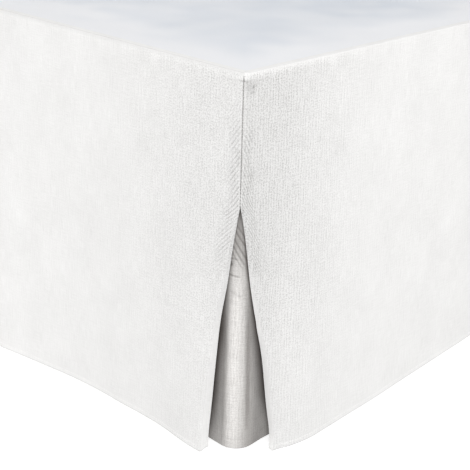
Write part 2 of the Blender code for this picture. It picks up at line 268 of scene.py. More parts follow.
def smooth_value(rows, at, key, value):
    """Reads a column of a table at any places, on a smooth curve through its rows."""
    rows = sorted(rows, key=lambda row: getattr(row, key))
    places = np.array([getattr(row, key) for row in rows], float)
    values = np.array([getattr(row, value) for row in rows], float)
    at = np.clip(at, places[0], places[-1])
    i = np.clip(np.searchsorted(places, at, side="right") - 1, 0, len(rows) - 2)
    before = np.maximum(i - 1, 0)
    after = np.minimum(i + 2, len(rows) - 1)
    span = places[i + 1] - places[i]
    slope_start = (values[i + 1] - values[before]) / (places[i + 1] - places[before])
    slope_end = (values[after] - values[i]) / (places[after] - places[i])
    t = (at - places[i]) / span
    level = (2 * t**3 - 3 * t**2 + 1) * values[i] + (3 * t**2 - 2 * t**3) * values[i + 1]
    return level + span * ((t**3 - 2 * t**2 + t) * slope_start + (t**3 - t**2) * slope_end)


def by_height(rows, height_mm, value):
    """Reads a column of a table at any heights."""
    return smooth_value(rows, height_mm, "height_mm", value)


def ease(value, start, end):
    """0 before start, 1 after end, and a soft step between them."""
    t = np.clip((value - start) / (end - start), 0, 1)
    return t * t * (3 - 2 * t)


def hump(distance, width):
    """A soft ridge: 1 in its middle and nearly 0 past twice its width."""
    return np.exp(-((distance / width) ** 2))


def uneven(u, v, size, seed):
    """Smooth noise from -1 to 1 whose patches are about one size wide."""
    count = 97
    lattice = np.random.default_rng(seed).uniform(-1, 1, (count, count))
    a, b = np.broadcast_arrays(np.asarray(u, float) / size, np.asarray(v, float) / size)
    i, j = np.floor(a).astype(int), np.floor(b).astype(int)
    s, t = ease(a - i, 0, 1), ease(b - j, 0, 1)
    i, j = i % count, j % count
    k, m = (i + 1) % count, (j + 1) % count
    low = lattice[i, j] * (1 - s) + lattice[k, j] * s
    high = lattice[i, m] * (1 - s) + lattice[k, m] * s
    return low * (1 - t) + high * t


def beside_line(u, v, start_u, start_v, end_u, end_v):
    """How far along a line places lie, as a share of it, and how far across it."""
    run, rise = end_u - start_u, end_v - start_v
    length = math.hypot(run, rise)
    share = ((u - start_u) * run + (v - start_v) * rise) / length**2
    across = ((u - start_u) * rise - (v - start_v) * run) / length
    return share, across


def crease_relief(creases, along_mm, height_mm):
    """Soft troughs along short lines, which fade out towards both ends."""
    total = 0.0
    for row in creases:
        share, across = beside_line(along_mm, height_mm, *row[:4])
        reach = ease(share, -0.25, 0.2) * (1 - ease(share, 0.8, 1.25))
        trough = hump(across, row.width_mm) - 0.5 * hump(across - 2 * row.width_mm, row.width_mm)
        total = total - row.depth_mm * reach * trough
    return total


def flare_at(table, along, height):
    """Distance of a drop's outer face outside its plane, at places on the drop."""
    depth = np.clip((SKIRT_TOP - height) / (SKIRT_TOP - HEM_HEIGHT), 0, 1)
    return smooth_value(table, along / MM, "along_mm", "out_mm") * MM * depth**FLARE_POWER


def level_rows(levels):
    """Heights from top to bottom, and which of them a plain stretch of the cloth has too."""
    heights, plain = [levels[0].top_mm * MM], [True]
    for row in levels:
        count = row.steps * row.parts
        for k in range(1, count + 1):
            heights.append((row.top_mm + (row.bottom_mm - row.top_mm) * k / count) * MM)
            plain.append(k % row.parts == 0)
    return np.array(heights), np.array(plain)


def drop_rows():
    """Heights, insets and plain rows of a drop, from its seam to the deck down to the hem."""
    levels, plain = level_rows(DROP_LEVELS)
    flat_insets = TOP_TURNOVER + np.array([GAP - DECK_SEAM_GAP, -0.5 * MM, -1.2 * MM])
    angles = np.radians(90) * (1 - np.arange(BEND_STEPS) / BEND_STEPS)
    bend_heights = SKIRT_TOP - TOP_BEND_RADIUS * (1 - np.sin(angles))
    bend_insets = TOP_BEND_RADIUS * (1 - np.cos(angles))
    heights = np.concatenate([np.full(3, SKIRT_TOP), bend_heights, levels])
    insets = np.concatenate([flat_insets, bend_insets, np.zeros(len(levels))])
    plain = np.concatenate([np.ones(3 + BEND_STEPS, bool), plain])
    return heights, insets, plain


def flap_columns(flare, split, heights, insets, open_share=1.0):
    """Columns of points from a flap's turned inner edge to the drop's plain stretch.

    Each column is (along, out, cut, edge), with a value for every row. cut is the place along
    the flat cloth.
    """
    level = np.minimum(heights, SEAM_END) / MM
    opening = by_height(split, level, "open_mm") * MM * open_share
    depth = by_height(split, level, "depth_mm") * MM
    turn = np.radians(by_height(split, level, "turn_deg"))
    radius = by_height(split, level, "radius_mm") * MM
    radius = np.maximum(radius, insets + 0.5 * MM)
    start = opening + radius
    ahead = flare_at(flare, start + MM, heights)
    behind = flare_at(flare, start - MM, heights)
    lean = np.arctan2(ahead - behind, 2 * MM)
    centre_along = start + radius * np.sin(lean)
    centre_out = flare_at(flare, start, heights) - radius * np.cos(lean)
    reach = radius - insets
    back = np.maximum(0.0, (depth - radius * (1 - np.cos(turn))) / np.sin(turn))
    fold = back + radius * np.maximum(0.0, turn - math.radians(45))
    fold = fold * (1 - ease(heights, SEAM_END - 0.02, SEAM_END))
    turn = np.maximum(turn - np.arcsin(GAP / 2 / reach), math.radians(2))
    length = radius * turn + back
    columns = []
    for k in range(TURN_COLUMNS):
        walked = length * (1 - (k / TURN_COLUMNS) ** 1.25)
        angle = lean + np.minimum(walked / radius, turn)
        past = np.maximum(0.0, walked - radius * turn)
        along = centre_along - reach * np.sin(angle) - past * np.cos(angle)
        out = centre_out + reach * np.cos(angle) - past * np.sin(angle)
        columns.append((along, out, start - walked, length - walked - fold))
    for k in range(CLOSE_COLUMNS + NEAR_COLUMNS):
        step = min(k, CLOSE_COLUMNS) * CLOSE_SPACING
        share = max(0, k - CLOSE_COLUMNS) / NEAR_COLUMNS
        room = NEAR_REACH - start - CLOSE_COLUMNS * CLOSE_SPACING
        along = start + step + room * share**1.3
        out = flare_at(flare, along, heights) - insets
        columns.append((along, out, along, length + along - start - fold))
    return columns


def far_columns(flare, first, last, heights, insets):
    """Columns of a drop's plain stretch, both ends included."""
    count = round((last - first) / FAR_SPACING)
    columns = []
    for k in range(count + 1):
        along = np.full(len(heights), first + (last - first) * k / count)
        out = flare_at(flare, along, heights) - insets
        columns.append((along, out, along, along))
    return columns


def seam_relief(edge_mm, height_mm):
    """Relief of the corner seam: a groove with a pit at each stitch, and the cloth's puckers."""
    sewn = ease(height_mm, 270.5, 273) * (1 - ease(height_mm, 377, 380))
    stitch = 0.5 + 0.5 * np.cos(math.tau * height_mm / STITCH_PITCH_MM)
    closed = 1 - ease(height_mm, 284, 292)
    groove = 0.95 - 0.5 * closed + (0.15 + 0.35 * closed) * (stitch - 0.5)
    puff = 0.12 * (1 - stitch) * hump(edge_mm - 1.7, 1.1)
    roll = 0.12 * hump(edge_mm - 3.0, 2.5)
    return sewn * (puff + roll - groove * hump(edge_mm, 0.42))


def pucker_wave(edge_mm, height_mm, corner, seed):
    """Fine ridges, from -1 to 1, that climb to the corner seam and its split from both sides."""
    wander = 1.1 * uneven(height_mm, 0, 21, seed) + 0.5 * uneven(height_mm, edge_mm, 7, seed + 1)
    slope = corner.low_slope + (corner.slope - corner.low_slope) * ease(height_mm, 285, 335)
    phase = math.tau * (height_mm + slope * edge_mm) / corner.pitch_mm
    patches = 0.6 + 0.4 * uneven(height_mm, edge_mm, 13, seed + 2)
    length = corner.reach_mm * (1 + 0.3 * uneven(height_mm, 0, 9, seed + 3))
    body = ease(edge_mm, 0.3, 2.2) * (1 - ease(edge_mm, 0.55 * length, 1.15 * length))
    fade = 0.75 * ease(height_mm, 325, 350) + 0.25 * ease(height_mm, 350, 366)
    span = ease(height_mm, 196, 214) * (1 - fade)
    return np.sin(phase + wander) * patches * body * span


def returned(edge_mm, height_mm):
    """1 on a flap's returned edge, well below the corner seam, and 0 on its face."""
    return (1 - ease(height_mm, 165, 235)) * (1 - ease(edge_mm, -1.5, 1.5))


def split_relief(edge_mm, height_mm):
    """The doubled cloth along a split edge stands a little proud of the flap."""
    below = 1 - ease(height_mm, 225, 262)
    band = ease(edge_mm, -4, 0) * (1 - ease(edge_mm, SPLIT_BAND_MM - 0.8, SPLIT_BAND_MM + 0.6))
    trough = hump(edge_mm - SPLIT_BAND_MM - 0.9, 0.8)
    return below * (0.1 * band - 0.07 * trough)


def hem_relief(along_mm, height_mm, bottom_mm, band_mm, seed):
    """A hem's doubled band, the line of its stitches, their small puckers and the round fold."""
    above = height_mm - bottom_mm
    line = hump(above - band_mm, 0.6)
    band = 0.16 * (1 - ease(above, band_mm - 1.0, band_mm))
    pull = np.sin(math.tau * along_mm / HEM_STITCH_PITCH_MM + 1.5 * uneven(along_mm, 0, 30, seed))
    pucker = 0.05 * pull * hump(above - band_mm, 2.2) * (0.6 + 0.4 * uneven(along_mm, 0, 23, seed))
    fold = 0.55 * np.clip(1 - above / 1.2, 0, 1) ** 2
    return band + pucker - 0.25 * line - fold


def soft_relief(along_mm, height_mm, seed):
    """Slight waves that hanging cloth always has. They fade out at the sewn top."""
    hang = 1 - ease(height_mm, 340, 376)
    broad = 0.45 * uneven(along_mm, 0.35 * height_mm, 70, seed)
    small = 0.14 * uneven(along_mm, 0.5 * height_mm, 24, seed + 1)
    return hang * (broad + small)


def corner_top_relief(edge_mm, height_mm):
    """A short cross line where the corner seam meets the deck's seam."""
    return -0.3 * hump(height_mm - 376.2, 0.55) * hump(edge_mm, 5)


def dimple_relief(edge_mm, height_mm):
    """The shallow hollow under the top edge, right of the near corner's seam."""
    hollow = -0.55 * hump(edge_mm - 7.5, 4.2) * hump(height_mm - 371.5, 4.5)
    pit = -0.3 * hump(edge_mm - 11.5, 0.9) * hump(height_mm - 370.6, 1.0)
    lower = -0.2 * hump(edge_mm - 10, 1.4) * hump(height_mm - 366.5, 1.0)
    return hollow + pit + lower


def seam_light(edge_mm, height_mm):
    """Painted shade in the corner seam: a thin dark line, which breaks into stitch holes low down."""
    sewn = ease(height_mm, 269, 271) * (1 - ease(height_mm, 378, 380))
    hole = 0.5 - 0.5 * np.cos(math.tau * height_mm / STITCH_PITCH_MM)
    line = ease(height_mm, 279, 290)
    dark = SEAM_PAINTED_SHADE * sewn * (line * (0.75 + 0.25 * hole) + (1 - line) * hole)
    cross = 0.4 * hump(height_mm - 376.2, 0.6) * hump(edge_mm, 5)
    return (1 - dark * hump(edge_mm, 0.36)) * (1 - cross)


def dimple_light(edge_mm, height_mm):
    """Light left in the hollow beside the near corner's top."""
    hollow = 0.2 * hump(edge_mm - 6.5, 6) * hump(height_mm - 371.5, 5.0)
    pit = 0.55 * hump(edge_mm - 10.6, 1.3) * hump(height_mm - 370.6, 1.3)
    lower = 0.3 * hump(edge_mm - 9.5, 2.2) * hump(height_mm - 366.5, 1.4)
    return 1 - hollow - pit - lower


def corner_light(near_mm, edge_mm, height_mm, corner, seed):
    """Light left on a drop beside a sewn corner, in the seam, its puckers and their soft shade."""
    wave = pucker_wave(edge_mm, height_mm, corner, seed)
    below_top = SKIRT_TOP / MM - height_mm
    low = corner.low_share + (1 - corner.low_share) * ease(height_mm, 80, 250)
    shade = corner.shade * hump(near_mm, corner.shade_reach_mm) * low * ease(below_top, 0.5, 8)
    shade = shade * (1 - returned(edge_mm, height_mm))
    top = corner.top_shade * (1 - ease(below_top, 1, 3))
    # Painted shade: the seam's line, the puckers' troughs, a soft shade round the corner and the top edge
    return seam_light(edge_mm, height_mm) - PUCKER_PAINTED_SHADE * np.maximum(-wave, 0) - shade - top


def head_end_relief(along_mm):
    """The narrow hem at a side drop's head end."""
    from_end = SKIRT_LENGTH / MM - along_mm
    return 0.14 * (1 - ease(from_end, 9, 10)) - 0.22 * hump(from_end - 10, 0.8)


def grid_normals(points):
    """Unit normals of a grid of points, from its neighbours' directions."""
    across = np.gradient(points, axis=0)
    down = np.gradient(points, axis=1)
    normals = np.cross(across, down)
    return normals / np.maximum(np.linalg.norm(normals, axis=2, keepdims=True), 1e-12)


def strip_faces(first, second):
    """Faces between two lines of points, each {place: point}, joined at the places they share."""
    shared = sorted(set(first) & set(second))
    faces = []
    for low, high in zip(shared, shared[1:]):
        one = [first[k] for k in range(low, high + 1) if k in first]
        other = [second[k] for k in range(high, low - 1, -1) if k in second]
        faces.append(one + other)
    return faces


def add_mesh(name, points, faces, material, sharp_deg=40):
    """Links a closed mesh as a smooth object, with its faces pointing out."""
    mesh = bpy.data.meshes.new(name)
    mesh.from_pydata(points, [], faces)
    work = bmesh.new()
    work.from_mesh(mesh)
    bmesh.ops.recalc_face_normals(work, faces=work.faces)
    work.to_mesh(mesh)
    work.free()
    piece = bpy.data.objects.new(name, mesh)
    bpy.context.scene.collection.objects.link(piece)
    mesh.materials.append(material)
    mesh.shade_smooth()
    mesh.set_sharp_from_angle(angle=math.radians(sharp_deg))
    return piece


def lay_cloth_map(piece, places):
    """Gives each point its place on the flat cloth, in metres, for the weave."""
    mesh = piece.data
    layer = mesh.uv_layers.new(name="cloth")
    corners = np.empty(len(mesh.loops), np.int32)
    mesh.loops.foreach_get("vertex_index", corners)
    layer.uv.foreach_set("vector", np.asarray(places, np.float32)[corners].ravel())


def lay_layer(piece, name, values):
    """Gives each point a number from 0 to 1, which its material reads."""
    layer = piece.data.attributes.new(name, "FLOAT", "POINT")
    layer.data.foreach_set("value", np.asarray(values, np.float32))


def add_shell(name, outer, inner, flat, dense, plain, material, pull, light):
    """A closed sheet from grids of its two faces, (column, row), finer where a column is dense.

    The inner face keeps every few columns and the plain rows. flat is each point's place on the
    flat cloth, pull how much its weave shows, and light how little painted shade it has.
    """
    columns, rows = outer.shape[:2]
    points, places, pulls, lights, lines = [], [], [], [], []
    for c in range(columns):
        line = {}
        for r in range(rows):
            if dense[c] or plain[r]:
                line[r] = len(points)
                points.append(outer[c, r])
                places.append(flat[c, r])
                pulls.append(pull[c, r])
                lights.append(light[c, r])
        lines.append(line)
    kept = {c for c in range(columns) if c % INNER_EVERY == 0 or c == columns - 1}
    backs = {}
    for c in sorted(kept):
        backs[c] = {}
        for r in np.flatnonzero(plain):
            backs[c][int(r)] = len(points)
            points.append(inner[c, r])
            places.append(flat[c, r])
            pulls.append(pull[c, r])
            lights.append(light[c, r])
    faces = []
    for first, second in zip(lines, lines[1:]):
        faces += strip_faces(first, second)
    order = sorted(backs)
    for first, second in zip(order, order[1:]):
        faces += strip_faces(backs[first], backs[second])
    for end in (0, columns - 1):
        faces += strip_faces(lines[end], backs[end])
    for row in (0, rows - 1):
        front = {c: lines[c][row] for c in range(columns)}
        back = {c: backs[c][row] for c in backs}
        faces += strip_faces(front, back)
    piece = add_mesh(name, points, faces, material)
    lay_cloth_map(piece, places)
    lay_layer(piece, "pull", pulls)
    lay_layer(piece, "light", lights)
    return piece


class Nodes:
    """Short calls for building a material's nodes."""

    def __init__(self, name):
        self.material = bpy.data.materials.new(name)
        self.material.use_nodes = True
        self.tree = self.material.node_tree
        self.shader = self.tree.nodes["Principled BSDF"]

    def feed(self, value, socket):
        """Links an output to a socket, or sets the socket's own value."""
        if isinstance(value, bpy.types.NodeSocket):
            self.tree.links.new(value, socket)
        else:
            socket.default_value = value

    def socket(self, node, key):
        """An input of a node, by its name in small letters."""
        return next(s for s in node.inputs if s.name.lower().replace(" ", "_") == key)

    def surface(self, color, **values):
        """Feeds the shader its colour, and sets plain values on its sockets."""
        self.feed(color, self.shader.inputs["Base Color"])
        for key, value in values.items():
            self.socket(self.shader, key).default_value = value

    def add(self, kind, output=0, settings=None, **inputs):
        """Adds a node with its inputs, named as its sockets but in small letters, and returns an output."""
        node = self.tree.nodes.new("ShaderNode" + kind)
        for key, value in (settings or {}).items():
            setattr(node, key, value)
        for key, value in inputs.items():
            self.feed(value, self.socket(node, key))
        return node.outputs[output]

    def calculate(self, operation, first, second=0.0):
        """One sum on two numbers."""
        node = self.tree.nodes.new("ShaderNodeMath")
        node.operation = operation
        self.feed(first, node.inputs[0])
        self.feed(second, node.inputs[1])
        return node.outputs[0]

    def stretch(self, vector, factors):
        """A vector times fixed factors."""
        node = self.tree.nodes.new("ShaderNodeVectorMath")
        node.operation = "MULTIPLY"
        self.feed(vector, node.inputs[0])
        self.feed(factors, node.inputs[1])
        return node.outputs[0]

    def noise(self, vector, width, height, detail=2.0):
        """Noise whose patches are about width by height metres, centred on zero."""
        placed = self.stretch(vector, (1 / width, 1 / height, 1.0))
        value = self.add("TexNoise", vector=placed, scale=1.0, detail=detail, roughness=0.55)
        return self.calculate("SUBTRACT", value, 0.5)

    def total(self, terms):
        """The sum of (output, factor) pairs."""
        sum_so_far = None
        for output, factor in terms:
            term = self.calculate("MULTIPLY", output, factor)
            sum_so_far = term if sum_so_far is None else self.calculate("ADD", sum_so_far, term)
        return sum_so_far

    def tint(self, darker, lighter, share):
        """A colour between two, by a share from 0 to 1."""
        node = self.tree.nodes.new("ShaderNodeMix")
        node.data_type = "RGBA"
        self.feed(share, node.inputs[0])
        for color, socket in ((darker, node.inputs[6]), (lighter, node.inputs[7])):
            self.feed((*color, 1.0) if isinstance(color, tuple) else color, socket)
        return node.outputs[2]

    def relief(self, height, depth, strength=1.0):
        """Bump from a height of 0 to 1 that stands for a depth in metres."""
        normal = self.add("Bump", strength=strength, distance=depth, height=height)
        self.feed(normal, self.shader.inputs["Normal"])


def woven(
    name, darker, lighter, shaded, slub=1.0, thread=0.55 * MM, plain_tone=0.5, dots=2.2, lines=0.3
):
    """A plain-woven linen-look cloth: uneven warp and weft threads, slubs and a faint mottle.

    The sheet's pull layer says where its grain shows, and its light layer where the painted shade
    colour takes over. plain_tone is the share of the lighter colour in flat cloth, and dots and lines
    are how strong the grain's two forms are.
    """
    nodes = Nodes(name)
    flat = nodes.add("UVMap", settings={"uv_map": "cloth"})
    pull = nodes.add("Attribute", output=2, settings={"attribute_name": "pull"})
    light = nodes.add("Attribute", output=2, settings={"attribute_name": "light"})
    warp = nodes.noise(flat, 0.9 * MM, 16 * MM, 3.0)
    weft = nodes.noise(flat, 14 * MM, 0.9 * MM, 3.0)
    grain = nodes.noise(flat, 1.3 * MM, 1.3 * MM, 1.0)
    mottle = nodes.noise(flat, 38 * MM, 55 * MM, 2.0)
    bent = nodes.noise(flat, 9 * MM, 30 * MM, 1.0)
    patch = nodes.noise(flat, 13 * MM, 24 * MM, 1.0)
    threads = nodes.total([(warp, 0.8 * slub), (weft, 0.55 * slub), (mottle, 0.5 * slub)])
    place = nodes.tree.nodes.new("ShaderNodeSeparateXYZ")
    nodes.feed(nodes.stretch(flat, (math.tau / RIB_PITCH, 1.0, 1.0)), place.inputs[0])
    turn = nodes.calculate("ADD", place.outputs[0], nodes.calculate("MULTIPLY", bent, 9.0))
    rib = nodes.calculate("MULTIPLY", nodes.calculate("SINE", turn), nodes.calculate("ADD", patch, 0.5))
    speckle = nodes.total([(grain, dots), (rib, lines), (warp, 0.8), (weft, 0.6)])
    speckle = nodes.calculate("MULTIPLY", speckle, pull)
    tone = nodes.calculate("ADD", nodes.calculate("ADD", threads, speckle), plain_tone)
    color = nodes.tint(shaded, nodes.tint(darker, lighter, tone), light)
    split = nodes.tree.nodes.new("ShaderNodeSeparateXYZ")
    nodes.feed(nodes.stretch(flat, (math.pi / thread, math.pi / thread, 1.0)), split.inputs[0])
    across = nodes.calculate("SINE", split.outputs[0])
    down = nodes.calculate("SINE", split.outputs[1])
    weave = nodes.calculate("MULTIPLY", across, down)
    height = nodes.total([(weave, 0.22), (warp, 0.6 * slub), (weft, 0.5 * slub), (speckle, 0.3)])
    nodes.relief(height, 0.12 * MM, 0.8)
    nodes.surface(
        color, roughness=0.94, specular_ior_level=0.15, sheen_weight=0.1, sheen_roughness=0.6
    )
    return nodes.material


def thread_material(name, darker, lighter):
    """Spun sewing thread."""
    nodes = Nodes(name)
    place = nodes.add("TexCoord", output=3)
    ply = nodes.noise(place, 0.4 * MM, 0.4 * MM, 1.0)
    color = nodes.tint(darker, lighter, nodes.calculate("ADD", ply, 0.5))
    nodes.surface(color, roughness=0.6, specular_ior_level=0.35)
    nodes.relief(ply, 0.08 * MM, 0.6)
    return nodes.material


def ticking_material():
    """The base's cover: a coarse warm grey weave, in the base's own coordinates."""
    nodes = Nodes("base_ticking")
    place = nodes.add("TexCoord", output=3)
    turned = nodes.add(
        "VectorRotate", vector=place, axis=(0.577, 0.577, 0.577), angle=math.radians(18)
    )
    fibre = nodes.noise(turned, 1.1 * MM, 9 * MM, 2.0)
    cross = nodes.noise(turned, 9 * MM, 1.1 * MM, 2.0)
    wear = nodes.noise(place, 90 * MM, 90 * MM, 3.0)
    tone = nodes.calculate("ADD", nodes.total([(fibre, 0.9), (cross, 0.9), (wear, 0.8)]), 0.5)
    color = nodes.tint((0.45, 0.43, 0.39), (0.66, 0.64, 0.60), tone)
    nodes.surface(color, roughness=0.92, specular_ior_level=0.2)
    nodes.relief(nodes.total([(fibre, 1.0), (cross, 1.0)]), 0.2 * MM, 0.9)
    return nodes.material


def steel_material():
    """Satin black powder coat: a fine orange-peel relief with slightly uneven gloss."""
    nodes = Nodes("leg_powder_coat")
    place = nodes.add("TexCoord", output=3)
    peel = nodes.noise(place, 0.9 * MM, 0.9 * MM, 1.0)
    rub = nodes.noise(place, 30 * MM, 30 * MM, 3.0)
    share = nodes.calculate("ADD", rub, 0.5)
    nodes.surface(nodes.tint((0.018, 0.018, 0.020), (0.035, 0.035, 0.038), share))
    gloss = nodes.calculate("ADD", nodes.total([(rub, 0.25), (peel, 0.1)]), 0.42)
    nodes.feed(gloss, nodes.shader.inputs["Roughness"])
    nodes.relief(peel, 0.06 * MM, 0.5)
    return nodes.material


def floor_material():
    """A plain near-white floor that keeps only a faint shadow."""
    nodes = Nodes("studio_floor")
    place = nodes.add("TexCoord", output=3)
    cloud = nodes.noise(place, 1.7, 1.7, 1.0)
    share = nodes.calculate("ADD", cloud, 0.5)
    color = nodes.tint((0.90, 0.90, 0.90), (0.92, 0.92, 0.92), share)
    white = (1.0, 1.0, 1.0, 1.0)
    nodes.surface(
        color, roughness=0.9, specular_ior_level=0.0, emission_color=white,
        emission_strength=FLOOR_GLOW,
    )
    return nodes.material


# Each cloth below has darker and lighter colours and a painted shade colour. The linen's lighter colour is
# raised, since its light layer is at most FACE_LIGHT on a drop's face.
LINEN_COLORS = ((0.555, 0.548, 0.536), (0.978, 0.973, 0.964), (0.13, 0.125, 0.12))
SIDE_LINEN = woven("side_linen_weave", *LINEN_COLORS, 0.5, plain_tone=0.745, dots=2.8, lines=0.16)
FOOT_LINEN = woven("foot_linen_weave", *LINEN_COLORS, 0.5, plain_tone=0.745, dots=2.25, lines=0.28)
UNDERLAY_LINEN = woven(
    "underlay_linen_weave", (0.62, 0.60, 0.58), (0.905, 0.886, 0.864), (0.075, 0.062, 0.054), 1.4,
)
DECK_CLOTH = woven(
    "deck_cotton_weave", (0.83, 0.84, 0.866), (0.912, 0.918, 0.937), (0.68, 0.722, 0.785), 0.35,
    thread=0.4 * MM,
)
THREAD = thread_material("sewing_thread", (0.80, 0.79, 0.77), (0.93, 0.925, 0.91))
SHADED_THREAD = thread_material("sewing_thread_in_shade", (0.40, 0.38, 0.365), (0.55, 0.53, 0.51))


def in_left(along, out, height):
    """Places on the left drop, in the model's frame."""
    return np.stack([-HALF_WIDTH - out, FOOT_Y + along, height], axis=-1)


def in_right(along, out, height):
    """Places on the right drop, in the model's frame."""
    return np.stack([HALF_WIDTH + out, FOOT_Y + along, height], axis=-1)


def in_foot(along, out, height):
    """Places on the foot drop, in the model's frame."""
    return np.stack([-HALF_WIDTH + along, FOOT_Y - out, height], axis=-1)


def drop_relief(along_mm, edge_mm, height_mm, creases, seed):
    """What every drop's face has besides its corners: waves, creases and the hem."""
    relief = soft_relief(along_mm, height_mm, seed) * ease(edge_mm, 4, 30)
    relief = relief + crease_relief(creases, along_mm, height_mm)
    relief = relief + hem_relief(along_mm, height_mm, HEM_HEIGHT / MM, HEM_BAND_MM, seed + 2)
    return relief


def corner_relief(edge_mm, height_mm, corner, seed):
    """What a drop's face has beside a split corner."""
    relief = seam_relief(edge_mm, height_mm) + split_relief(edge_mm, height_mm)
    relief = relief + corner.pucker_mm * pucker_wave(edge_mm, height_mm, corner, seed)
    return relief + corner_top_relief(edge_mm, height_mm)


Grid = namedtuple("Grid", "along out cut edge heights insets plain dense relief light pull")


def make_grid(columns, dense, rows, relief_of, light_of, corner, far_seam=math.inf):
    """A drop's grid, (column, row), from its columns and the functions that give its layers.

    far_seam is where a second corner seam is, along the drop.
    """
    heights, insets, plain = rows
    along, out, cut, edge = (np.array([column[k] for column in columns]) for k in range(4))
    near_mm = np.minimum(along, far_seam - along) / MM
    edge_mm, height_mm = edge / MM, heights / MM
    relief = relief_of(along / MM, edge_mm, height_mm) * MM
    # Painted light: the strip on the deck keeps its full colour, lighter than the face, whose light is at
    # most FACE_LIGHT
    on_top = ease(insets / MM, 1.2, TOP_BEND_RADIUS / MM)
    face_light = FACE_LIGHT * np.clip(light_of(near_mm, edge_mm, height_mm), 0, 1)
    light = face_light * (1 - on_top) + on_top
    pull = corner.grain * np.maximum(hump(near_mm, GRAIN_REACH_MM), 0.14)
    pull = pull * (0.5 + 0.5 * ease(height_mm, 60, 200)) * ease(SKIRT_TOP / MM - height_mm, 0, 3)
    pull = pull * (1 - 0.85 * returned(edge_mm, height_mm))
    return Grid(along, out, cut, edge, heights, insets, plain, dense, relief, light, pull)


def side_grid(flare, open_share, creases, seed):
    """A side drop's grid, from its split edge to its head end."""
    heights, insets, plain = drop_rows()
    near = flap_columns(flare, SIDE_SPLIT, heights, insets, open_share)
    columns = near + far_columns(flare, NEAR_REACH, SKIRT_LENGTH, heights, insets)
    dense = np.arange(len(columns)) <= len(near)

    def relief_of(along_mm, edge_mm, height_mm):
        relief = drop_relief(along_mm, edge_mm, height_mm, creases, seed)
        relief = relief + corner_relief(edge_mm, height_mm, SIDE_CORNER, seed + 10)
        return relief + head_end_relief(along_mm)

    def light_of(near_mm, edge_mm, height_mm):
        return corner_light(near_mm, edge_mm, height_mm, SIDE_CORNER, seed + 10)

    rows = (heights, insets, plain)
    return make_grid(columns, dense, rows, relief_of, light_of, SIDE_CORNER)


def foot_grid(seed):
    """The foot drop's grid, from the left corner to the right."""
    heights, insets, plain = drop_rows()
    mirrored = [Flare(SKIRT_WIDTH / MM - row.along_mm, row.out_mm) for row in FOOT_FLARE]
    near = flap_columns(FOOT_FLARE, FOOT_SPLIT, heights, insets)
    away = flap_columns(mirrored, FOOT_SPLIT, heights, insets, RIGHT_FOOT_OPEN_SHARE)
    away = [(SKIRT_WIDTH - a, out, SKIRT_WIDTH - cut, edge) for a, out, cut, edge in reversed(away)]
    middle = far_columns(FOOT_FLARE, NEAR_REACH, SKIRT_WIDTH - NEAR_REACH, heights, insets)
    columns = near + middle + away
    index = np.arange(len(columns))
    first_away = len(near) + len(middle)
    dense = (index <= len(near)) | (index >= first_away - 1)
    is_near = (index < len(near))[:, None]

    def relief_of(along_mm, edge_mm, height_mm):
        relief = drop_relief(along_mm, edge_mm, height_mm, FOOT_CREASES, seed)
        relief = relief + corner_relief(edge_mm, height_mm, FOOT_CORNER, seed + 10)
        return relief + np.where(is_near, dimple_relief(edge_mm, height_mm), 0.0)

    def light_of(near_mm, edge_mm, height_mm):
        light = corner_light(near_mm, edge_mm, height_mm, FOOT_CORNER, seed + 10)
        return light * np.where(is_near, dimple_light(edge_mm, height_mm), 1.0)

    rows = (heights, insets, plain)
    return make_grid(columns, dense, rows, relief_of, light_of, FOOT_CORNER, SKIRT_WIDTH)


def add_drop(name, grid, place, facing, linen):
    """A drop's fine sheet. facing is the way its face looks, to point its normals outwards."""
    rounded = ease(-grid.edge, 0, 8 * MM) * (1 - ease(grid.heights - HEM_HEIGHT, 0, 18 * MM))
    base = place(grid.along, grid.out, grid.heights + HEM_CORNER_LIFT * rounded)
    normals = grid_normals(base)
    if np.dot(normals[len(normals) // 2, -20], facing) < 0:
        normals = -normals
    outer = base + normals * grid.relief[..., None]
    inner = base - normals * SHEET
    down = np.broadcast_to(grid.heights + grid.insets, grid.along.shape)
    flat = np.stack([grid.cut, down], axis=-1)
    piece = add_shell(
        name, outer, inner, flat, grid.dense, grid.plain, linen, grid.pull, grid.light
    )
    return piece, outer, normals


def add_stitches(name, spots, thread, material):
    """Many short threads as one mesh: each spot is (middle, direction, normal)."""
    length, radius = thread
    sides = THREAD_SIDES
    shares = [-0.5, -0.34, 0.0, 0.34, 0.5]
    widths = [0.0, 0.8, 1.0, 0.8, 0.0]
    points, faces = [], []
    for middle, direction, normal in spots:
        direction = direction / np.linalg.norm(direction)
        side = np.cross(direction, normal)
        side = side / np.linalg.norm(side)
        lift = np.cross(side, direction)
        first = len(points)
        points.append(middle + direction * length * shares[0] - lift * radius)
        for share, width in zip(shares[1:-1], widths[1:-1]):
            ring_middle = middle + direction * length * share - lift * radius * 2 * abs(share)
            for k in range(sides):
                angle = math.tau * k / sides
                turn = side * math.cos(angle) + lift * math.sin(angle)
                points.append(ring_middle + turn * radius * width)
        points.append(middle + direction * length * shares[-1] - lift * radius)
        last = len(points) - 1
        for k in range(sides):
            one, other = first + 1 + k, first + 1 + (k + 1) % sides
            faces.append((first, other, one))
            for ring in range(2):
                step = ring * sides
                faces.append((one + step, other + step, other + step + sides, one + step + sides))
            faces.append((one + 2 * sides, other + 2 * sides, last))
    return add_mesh(name, points, faces, material, 60)


def row_at(heights, level):
    """The row nearest a height."""
    return int(np.argmin(np.abs(heights - level)))


